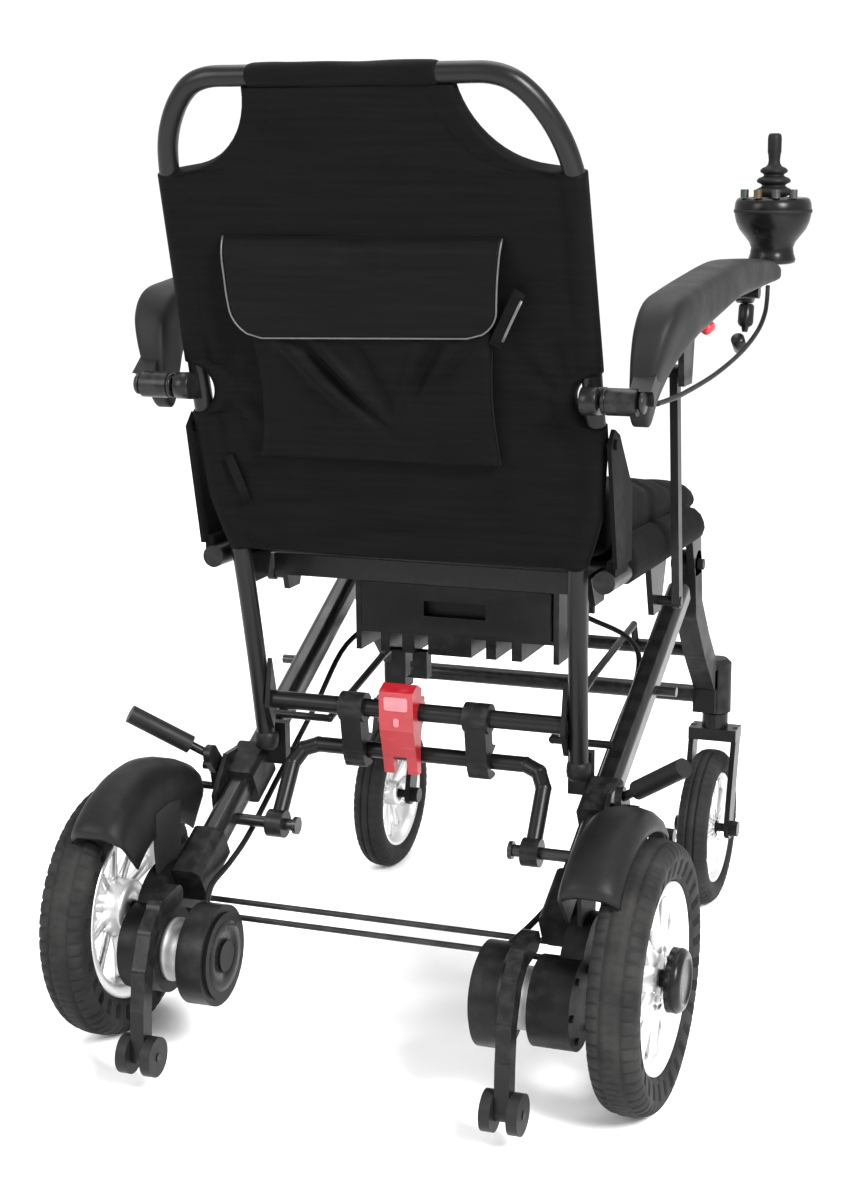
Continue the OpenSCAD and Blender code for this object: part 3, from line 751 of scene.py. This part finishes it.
def pouch_outline(u, v):
    z = POUCH_BOTTOM + (POUCH_TOP - POUCH_BOTTOM) * v
    pull = 5 * math.sin(math.pi * v)
    left = POUCH_LEFT + pull + 4 * (1 - v)
    right_edge = POUCH_RIGHT - pull + 6 * (1 - v) ** 2
    return left + (right_edge - left) * u, z


def pouch_surface(x, z, u, v):
    """Slack nylon: deep folds run in a V from the flap's corners to the middle."""
    soft = math.sin(math.pi * u) ** 0.5 * math.sin(math.pi * min(1.0, v * 1.05)) ** 0.5
    down = POUCH_TOP - z
    folds = 0.0
    for start, lean, width, height in ((112, -1.05, 7, 11), (92, -0.98, 7, -12),
                                       (70, -0.8, 6, 10), (-84, 0.76, 7, 11),
                                       (-64, 0.56, 6, -11), (-102, 0.95, 8, -10),
                                       (-42, 0.34, 6, 8), (30, -0.45, 8, -7)):
        fade = math.exp(-(down / 100) ** 2)
        folds += height * fold(x, start + lean * down, width * (1 + down / 150)) * fade
    folds += 1.4 * noise.noise(Vector((x * 0.025, z * 0.03, 7.7)))
    folds += 1.2 * math.sin(z * 0.2 + x * 0.03) * max(0.0, 1 - (z - POUCH_BOTTOM) / 40)
    return max(11.6, 19.0 + 2.0 * soft + folds * soft)


pouch = cloth_patch("pocket_pouch", pouch_outline, pouch_surface, 4, "back_fabric", 96, 60,
                    ("back_pocket",))
flap = cloth_patch("pocket_flap", flap_outline, flap_surface, 2, "pocket_nylon", 80, 44)

flap_edge = [flap_outline(0, 1 - i / 22) + (0, 1 - i / 22) for i in range(23)]
flap_edge += [flap_outline(i / 40, 0) + (i / 40, 0) for i in range(1, 40)]
flap_edge += [flap_outline(1, i / 22) + (1, i / 22) for i in range(23)]
piping = tube("pocket_piping",
              [on_back(x, z, flap_surface(x, z, u, v) - 0.4) for x, z, u, v in flap_edge],
              0.0009, "piping", "backrest", 8)


BACK_OUT = (on_back(0, 700, 10) - on_back(0, 700, 0)).normalized()


def flat_strap(name, path, width, thick, material):
    """Webbing on the back: a thin band with rounded edges along a path."""
    rings = []
    for i, p in enumerate(path):
        along = (path[min(i + 1, len(path) - 1)] - path[max(i - 1, 0)]).normalized()
        face = (BACK_OUT - along * BACK_OUT.dot(along)).normalized()
        across = along.cross(face)
        rings.append([p + across * (u * width / 2) + face * (v * thick / 2)
                      for u, v in ((-1, 0), (-0.94, 0.8), (-0.8, 1), (0.8, 1), (0.94, 0.8),
                                   (1, 0), (0.94, -0.8), (0.8, -1), (-0.8, -1), (-0.94, -0.8))])
    return lofted(name, rings, material, "backrest")


strap_path = [on_back(-141 + 26 * t, 750 - 48 * t, 15.0 + 6 * math.sin(math.pi * t * 0.7))
              for t in (0, 0.1, 0.25, 0.4, 0.55, 0.7, 0.85, 1)]
strap = flat_strap("pocket_strap", strap_path, 0.012, 0.0022, "back_fabric")
strap_edge = flat_strap("pocket_strap_edge", [p + Vector((-0.0046, 0, -0.0026))
                        + BACK_OUT * 0.0008 for p in strap_path[1:-1]], 0.0026, 0.0018, "piping")
loop = flat_strap("lower_loop", [on_back(173 - 16 * t, 580 - 46 * t, 10.4)
                                 for t in (0, 0.3, 0.6, 1)], 0.010, 0.0016, "pocket_nylon")


# ---- padded pieces ----
PRESSURE, SIM_FRAMES = 4.0, 16


def puff(made, cap, voxel):
    """Swells a closed pad with Cloth pressure, lets no point move more than cap, applies it."""
    remesh = made.modifiers.new("remesh", "REMESH")
    remesh.mode = "VOXEL"
    remesh.voxel_size = voxel
    graph = bpy.context.evaluated_depsgraph_get()
    mesh = bpy.data.meshes.new_from_object(made.evaluated_get(graph))
    made.modifiers.clear()
    rest = [v.co.copy() for v in mesh.vertices]
    cushion = bpy.data.objects.new("cushion_sim", mesh)
    bpy.context.collection.objects.link(cushion)
    cloth = cushion.modifiers.new("cloth", "CLOTH")
    cloth.settings.use_pressure = True
    cloth.settings.uniform_pressure_force = PRESSURE
    cloth.settings.effector_weights.gravity = 0
    cloth.settings.quality = 4
    cloth.point_cache.frame_start = 1
    cloth.point_cache.frame_end = SIM_FRAMES
    for frame_number in range(1, SIM_FRAMES + 1):
        bpy.context.scene.frame_set(frame_number)
    graph = bpy.context.evaluated_depsgraph_get()
    swollen = cushion.evaluated_get(graph).to_mesh()
    moved = [v.co.copy() for v in swollen.vertices]
    cushion.evaluated_get(graph).to_mesh_clear()
    bpy.data.objects.remove(cushion)
    bpy.context.scene.frame_set(1)
    for vertex, before, after in zip(mesh.vertices, rest, moved):
        step = after - before
        if step.length > cap:
            step = step.normalized() * cap
        vertex.co = before + step
    for polygon in mesh.polygons:
        polygon.use_smooth = True
    mesh.materials.clear()
    mesh.materials.append(made.data.materials[0])
    old = made.data
    made.data = mesh
    bpy.data.meshes.remove(old)
    smooth = made.modifiers.new("smooth", "CORRECTIVE_SMOOTH")
    smooth.iterations = 4
    smooth.factor = 0.5
    smooth.use_only_smooth = True


SEAT_HALF = 203
SEAT_CHANNELS = (215, 300, 385)         # forward of the axle
SEAT_SIDE = [(128, 490), (126, 520), (128, 546), (136, 556), (152, 557), (250, 541),
             (350, 524.5), (440, 509.5), (474, 502), (492, 492), (500, 480), (495, 472),
             (470, 474), (400, 482), (300, 484), (200, 486)]


def add_seat():
    """The seat pad: a sewn box with rounded corners, sat on by its sling."""
    rings = []
    outline = spline([at(0, f, z) for f, z in SEAT_SIDE + SEAT_SIDE[:1]], 4)[:-1]
    centre = at(0, sum(f for f, z in SEAT_SIDE) / len(SEAT_SIDE),
                sum(z for f, z in SEAT_SIDE) / len(SEAT_SIDE))
    for i in range(41):
        u = -1 + 2 * i / 40
        x = u * (SEAT_HALF - 5)
        inset = SEAT_HALF - 5 - abs(x)
        pull = 1 - 0.035 * max(0.0, 1 - inset / 26) ** 2
        drop = 9 * max(0.0, 1 - inset / 22) ** 2
        ring = []
        for p in outline:
            q = centre + (p - centre) * pull
            share = (q.z - centre.z) / 0.05
            q.z -= drop / 1000 * max(-1.0, min(1.0, share))
            q.x = x / 1000
            ring.append(q)
        rings.append(ring)
    made = lofted("seat_pad", rings, "seat_fabric", "chassis", ("seat_cushion",))
    puff(made, 0.006, 0.007)
    for vertex in made.data.vertices:
        # Sewn channels across the seat, and a seam round the side.
        co = vertex.co
        f = (AXLE_Y - co.y) * 1000
        z = co.z * 1000
        top = 565 - 0.168 * (f - 125)
        if z > top - 22 and abs(co.x) < 0.19:
            for line in SEAT_CHANNELS:
                vertex.co.z -= 0.0042 * fold(f, line, 5)
            vertex.co.z -= 0.0035 * fold(abs(co.x) * 1000, 150, 5)
        if abs(co.x) > 0.192:
            vertex.co.x -= math.copysign(0.0016 * fold(z, top - 30, 3), co.x)


add_seat()


def add_seat_wrap(side_name, sign):
    """The seat sling's edge, taken round the side rail and up to the pad."""
    section = [(194, 34), (204, 31), (211, 22), (214.5, 10), (215.6, 0), (213, -8),
               (207, -13), (200, -14), (193, -11), (189, -4), (188.5, 8), (190, 22)]
    rings = []
    for i in range(41):
        f = 146 + 308 * i / 40
        rail = 469 - 0.0226 * (f - 250)
        pad = 486 + 16 * max(0.0, min(1.0, (470 - f) / 300))
        ends = min(i, 40 - i) / 2.0
        small = math.sqrt(max(0.08, 1 - (1 - min(1.0, ends)) ** 2))
        wave = 1.2 * noise.noise(Vector((f * 0.03, sign, 2.2)))
        ring = []
        for x, h in section:
            high = h if h < 10 else h * (pad - rail) / 34
            spread = wave * max(0.0, h / 34)
            ring.append(at(sign * (202 + (x - 202) * small + spread), f, rail + high * small))
        rings.append(ring)
    lofted("seat_wrap_" + side_name, rings, "seat_fabric", "chassis")


for side_name, sign in SIDES:
    add_seat_wrap(side_name, sign)


def add_back_pad():
    """The front of the back: a thin quilted pad with upright channels."""
    rings = []
    half_w, low, high = 170, 626, 834
    for j in range(61):
        v = j / 60
        z = low + (high - low) * v
        corner = 30
        cut = 0.0
        for d in (z - low, high - z):
            if d < corner:
                cut = corner - math.sqrt(max(0.0, corner ** 2 - (corner - d) ** 2))
        w = half_w - cut
        ring = []
        for side in (1, -1):
            for i in range(61):
                u = (-1 + 2 * i / 60) * side
                x = u * w
                inset = min(w - abs(x), min(z - low, high - z) + 2)
                round_off = min(1.0, inset / 16)
                crown = math.sqrt(max(0.0, 1 - (1 - round_off) ** 2))
                if side > 0:
                    proud = -13.0 - 12.5 * crown
                    for line in (-102, -34, 34, 102):
                        proud += 4.0 * fold(x, line, 5.5) * crown
                else:
                    proud = -11.8
                ring.append(on_back(x, z, proud))
        rings.append(ring)
    lofted("back_pad", rings, "seat_fabric", "backrest",
                     ("back_cushion",))


add_back_pad()

ARM_TOP = [(67, 622), (57, 642), (56, 664), (57, 690), (66, 715), (92, 735), (140, 742),
           (235, 750), (330, 756), (400, 754), (470, 750), (506, 744), (521, 735)]
ARM_BOTTOM = [(84, 624), (90, 641), (98, 658), (106, 673), (120, 685), (140, 693),
              (160, 698), (240, 709), (330, 720), (400, 722), (465, 724), (502, 725),
              (518, 727)]


def add_arm_pad(side_name, sign):
    """An arm pad: a padded slab whose rear end turns down, built of cross-sections."""
    top = spline([at(0, f, z) for f, z in ARM_TOP], 6)
    bottom = spline([at(0, f, z) for f, z in ARM_BOTTOM], 6)
    x0, x1 = 0.2318, 0.2762
    rings = []
    last = len(top) - 1
    for i, (over, under) in enumerate(zip(top, bottom)):
        middle, half = (over + under) / 2, (over - under) / 2
        end = min(i, last - i) / 5
        small = math.sqrt(max(0.05, 1 - (1 - min(1.0, end)) ** 2))
        # The turned-down end narrows from its outer side.
        share = min(1.0, i / 34)
        outer = x0 + 0.018 + (x1 - x0 - 0.018) * share * share * (3 - 2 * share)
        half_x = (outer - x0) / 2 * (0.72 + 0.28 * small)
        ring = []
        for a in angles(40):
            c, s = math.cos(a), math.sin(a)
            u = math.copysign(abs(c) ** 0.42, c)
            v = math.copysign(abs(s) ** 0.42, s)
            p = middle + half * (v * small)
            # The top is crowned, and dished a little along its middle.
            if s > 0.2 and 12 < i < last - 4:
                p.z += 0.0012 * (1 - u * u) * math.sin(math.pi * i / last)
            p.x = sign * ((x0 + outer) / 2 + u * half_x)
            ring.append(p)
        rings.append(ring)
    lofted("arm_rest_" + side_name, rings, "pad_vinyl", "arm_" + side_name,
                     ("arm_pad_" + side_name,))
    turned("arm_hub_cap_" + side_name, at(sign * 213.5, *ARM_PIVOT), (sign, 0, 0),
           [(6.1, 0), (11, 0), (12, 1), (12, 3.6), (11, 4.4), (6.1, 4.4)], "gloss_black",
           "arm_" + side_name, "black_plastic", 40)


for side_name, sign in SIDES:
    add_arm_pad(side_name, sign)


# ---- fenders ----
REAR_END, REACH, DROOP = -43, 81, 7     # degrees of the guard's rear end, its arc and its ends
def add_fender(side_name, sign):
    """A moulded guard over the inner half of the tyre, with a rolled lip."""
    rings = []
    centre = at(sign * 243, 0, REAR_R)
    outer = [(91, -28.4), (109, -28.6), (125, -29), (137, -28.2), (146, -24), (151, -17),
             (153, -8), (153, 8), (151, 17), (146, 24), (139, 28), (133.5, 29), (132.4, 27.6),
             (133.6, 26), (139, 24.6), (143.6, 20.6), (147.2, 14), (148.8, 7), (148.8, -7),
             (147.2, -14), (143, -20.6), (136, -24.8), (125, -25.8), (91, -25.4),
             (90, -27)]
    for i in range(61):
        u = i / 60
        a = math.radians(REAR_END + REACH * u)
        end = min(u, 1 - u) * REACH
        droop = 0.0
        if end < DROOP:
            droop = DROOP * (1 - math.sqrt(max(0.0, 1 - (1 - end / DROOP) ** 2)))
        out = Vector((0, -math.sin(a), math.cos(a)))
        ring = []
        for r, h in outer:
            shift = droop if r > 140 else droop * max(0.0, (r - 125) / 15)
            ring.append(centre + out * ((r - shift) / 1000) + Vector((sign * h / 1000, 0, 0)))
        rings.append(ring)
    lofted("wheel_guard_" + side_name, rings, "black_plastic", "chassis",
           ("fenders",))
    plate = []
    for x in (213.4, 217.4):
        plate.append([at(sign * x, f, z) for f, z in
                      ((-22, 172), (0, 170), (22, 172), (25, 200), (26, 238), (0, 242),
                       (-26, 238), (-25, 200))])
    lofted("guard_bracket_" + side_name, plate, "black_plastic", "chassis",
           flat=True)


for side_name, sign in SIDES:
    add_fender(side_name, sign)

# ---- joystick ----
STICK = (-252, 577)
turned("joystick_bowl", at(*STICK, 0), (0, 0, 1),
       [(0, 739), (20, 739), (25, 740.5), (26, 744), (24, 750), (23, 757), (25.5, 763),
        (31, 770), (36.5, 777), (40, 785), (41.8, 793), (42, 800), (41.4, 805), (40, 808.6),
        (38, 810.6), (36, 811), (28, 811), (25.6, 810.4), (25, 809), (25, 798), (24, 796),
        (0, 796)], "gloss_black", "arm_right", "black_plastic", 72, ("joystick_housing",))
MOUNT = ((577, 748), (560, 738), (535, 731), (500, 725))
tube("joystick_mount", spline([at(STICK[0], f, z) for f, z in MOUNT], 6), 0.0085, "frame_paint",
     "arm_right", 16)
turned("joystick_ring", at(*STICK, 0), (0, 0, 1),
       [(41, 794), (42.8, 795), (42.8, 798), (41, 799)], "boot_rubber", "arm_right",
       "black_plastic", 72)
turned("joystick_boot", at(*STICK, 806), (0, 0, 1),
       [(0, 4), (12, 5), (18.5, 8), (20, 11), (19, 14), (14, 16.4), (12.6, 18), (14, 19.4),
        (18, 21.2), (18.6, 23.6), (16.4, 26), (11.8, 27.8), (10.8, 29.2), (12, 30.6),
        (14.8, 32.2), (15, 34.6), (12.8, 36.8), (8.6, 38.6), (6.8, 41), (6.2, 45), (6.8, 51),
        (7.5, 54), (7.6, 68), (7.2, 71.4), (6, 73.4), (3.6, 74), (0, 74)], "boot_rubber",
       "stick", "boot_rubber", 56, ("joystick_stick",))

# ---- back tube ----
BACK_TUBE = [(167, 134, 272), (170, 118.5, 372), (175, 99, 484), (183, 94.6, 510),
             (190, 90.6, 535), (194.6, 85, 568), (197.5, 79, 605), (197.6, 67, 649),
             (197.2, 45, 730), (196.6, 30, 785), (195.6, 15, 838), (193.6, 6.5, 858),
             (188.4, -3.5, 878), (179.6, -12.6, 897), (167, -20.8, 915), (151, -27.6, 928.5),
             (132, -30.6, 934.4), (108, -31, 935), (80, -31, 935), (48, -31, 935),
             (16, -31, 935)]


def add_back_tube():
    """One bent tube, from one foot up over the top bar and down to the other foot."""
    left = [at(*p) for p in BACK_TUBE]
    path = left + [at(-x, f, z) for x, f, z in reversed(BACK_TUBE)]
    line = spline(path, 6)
    tube("back_tube", line, 0.0096, "frame_paint", "backrest", 24,
         ("backrest_frame",))
    for side_name, sign in SIDES:
        turned("back_foot_" + side_name, at(sign * 167, 133.2, 277), (0, -0.152, 0.988),
               [(0, -12), (8, -12), (11, -9), (12.2, -4), (12.2, 2), (11.4, 6), (9.7, 7),
                (0, 7)], "black_plastic", "backrest", "frame_paint", 40)
        rings = []
        for x, inset in ((194, 1.0), (195, 0), (209, 0), (210, 1.0)):
            ring = []
            r = 13 - inset
            for a in angles(32):
                f0, z0 = ARM_PIVOT if math.cos(a) < 0 else (68, 646)
                ring.append(at(sign * x, f0 + r * math.cos(a), z0 + r * math.sin(a)))
            rings.append(ring)
        lofted("arm_bracket_" + side_name, rings, "frame_paint", "backrest")
        turned("arm_pin_" + side_name, at(sign * 196, *ARM_PIVOT), (sign, 0, 0),
               [(0, 0), (6, 0), (6, 53), (10, 53), (10, 56), (9, 57), (0, 57)],
               "rod_steel", "backrest", "frame_paint", 36)


add_back_tube()

# ---- fittings under the right armrest ----
for name, place, axis, profile, material in (
        ("plug_front", (-240, 506, 686), (0, 0.25, -1),
         [(0, -14), (7, -14), (8.4, -12), (8.4, 6), (7, 9), (4, 11), (3, 16), (0, 16)],
         "gloss_black"),
        ("plug_rear", (-240, 476, 660), (0, -0.8, -0.6),
         [(0, -12), (6, -12), (7.4, -10), (7.4, 8), (5, 11), (3, 16), (0, 16)],
         "gloss_black"),
        ("red_plug", (-240, 330, 690), (0, 1, -0.1),
         [(0, -9), (5, -9), (6, -7), (6, 7), (5, 9), (0, 9)], "red_plastic"),
        ("pad_clamp", (-239, 505, 713), (1, 0, 0),
         [(0, -9), (11, -9), (12, -8), (12, 8), (11, 9), (0, 9)], "gloss_black")):
    turned("fitting_" + name, at(*place), axis, profile, material, "arm_right",
           "black_plastic", 32)

# ---- small parts ----
for side_name, sign in SIDES:
    turned("motor_neck_" + side_name, at(sign * 160, -50, 112), (sign, 0, 0),
           [(20, 0.3), (31, 0.3), (31, 3), (29.4, 4), (29.4, 21), (31, 22.5), (31, 26),
            (20, 26)], "tray_grey", "chassis", "rod_steel", 72)
    turned("motor_cap_ring_" + side_name, at(sign * 131, -50, 112), (sign, 0, 0),
           [(16, -0.4), (34, -0.4), (34.6, 0.2), (34, 0.8), (16, 0.8)], "gloss_black",
           "chassis", "motor_black", 60)


def rounded_plate(name, centre, across, upward, width, height, thick, radius, material, body):
    """A thin panel with round corners and a soft edge."""
    across, upward = across.normalized(), upward.normalized()
    out = across.cross(upward)
    rings = []
    for inset, level in ((0.0, -0.5), (0.0, 0.2), (0.12, 0.5)):
        ring = []
        for a in angles(32):
            cx = (width / 2 - radius) * (1 if math.cos(a) > 0 else -1)
            cy = (height / 2 - radius) * (1 if math.sin(a) > 0 else -1)
            x = cx + radius * (1 - inset) * math.cos(a)
            y = cy + radius * (1 - inset) * math.sin(a)
            ring.append(centre + across * (x / 1000) + upward * (y / 1000)
                        + out * (level * thick / 1000))
        rings.append(ring)
    return lofted(name, rings, material, body, flat=True)


rounded_plate("latch_panel", at(13, 104.4, 333), Vector((1, 0, 0)),
              Vector((0, 0.03, 1)), 25, 14, 1.2, 2.5, "label_pale", "latch")
rounded_plate("latch_spot", at(13, 105.2, 314), Vector((1, 0, 0)),
              Vector((0, 0.03, 1)), 6, 9, 1.0, 2.4, "label_pale", "latch")

# ---- floor, light ----
floor_mesh = bpy.data.meshes.new("floor")
floor_mesh.from_pydata([(-9, -9, 0), (9, -9, 0), (9, 9, 0), (-9, 9, 0)], [], [(0, 1, 2, 3)])
floor = bpy.data.objects.new("floor", floor_mesh)
bpy.context.collection.objects.link(floor)
floor_nodes = Nodes("floor")
floor_nodes.finish(floor_nodes.mix(floor_nodes.noise(3, 2), grey(0.965), grey(0.975)), 0.8,
                   floor_nodes.noise(200, 2), 0.02, 0.001, Specular_IOR_Level=0.1)
floor_mesh.materials.append(MATS["floor"])


def area_light(name, place, target, size, power):
    data = bpy.data.lights.new(name, "AREA")
    data.shape = "RECTANGLE"
    data.size = size[0]
    data.size_y = size[1]
    data.energy = power
    lamp = bpy.data.objects.new(name, data)
    lamp.location = place
    lamp.rotation_euler = (Vector(target) - Vector(place)).to_track_quat("-Z", "Y").to_euler()
    bpy.context.collection.objects.link(lamp)


area_light("key", (-2.2, 1.8, 2.2), (0, 0, 0.5), (0.8, 1.1), 230)
area_light("fill", (1.8, 2.4, 1.8), (0, 0, 0.5), (1.2, 1.6), 60)
area_light("top", (0.2, -0.6, 3.0), (0, 0, 0.4), (2.2, 2.2), 60)
world = bpy.data.worlds.new("studio")
world.use_nodes = True
background = world.node_tree.nodes["Background"]
background.inputs["Color"].default_value = (1, 1, 1, 1)
background.inputs["Strength"].default_value = 1.04
bpy.context.scene.world = world
bpy.context.scene.view_settings.view_transform = "Standard"
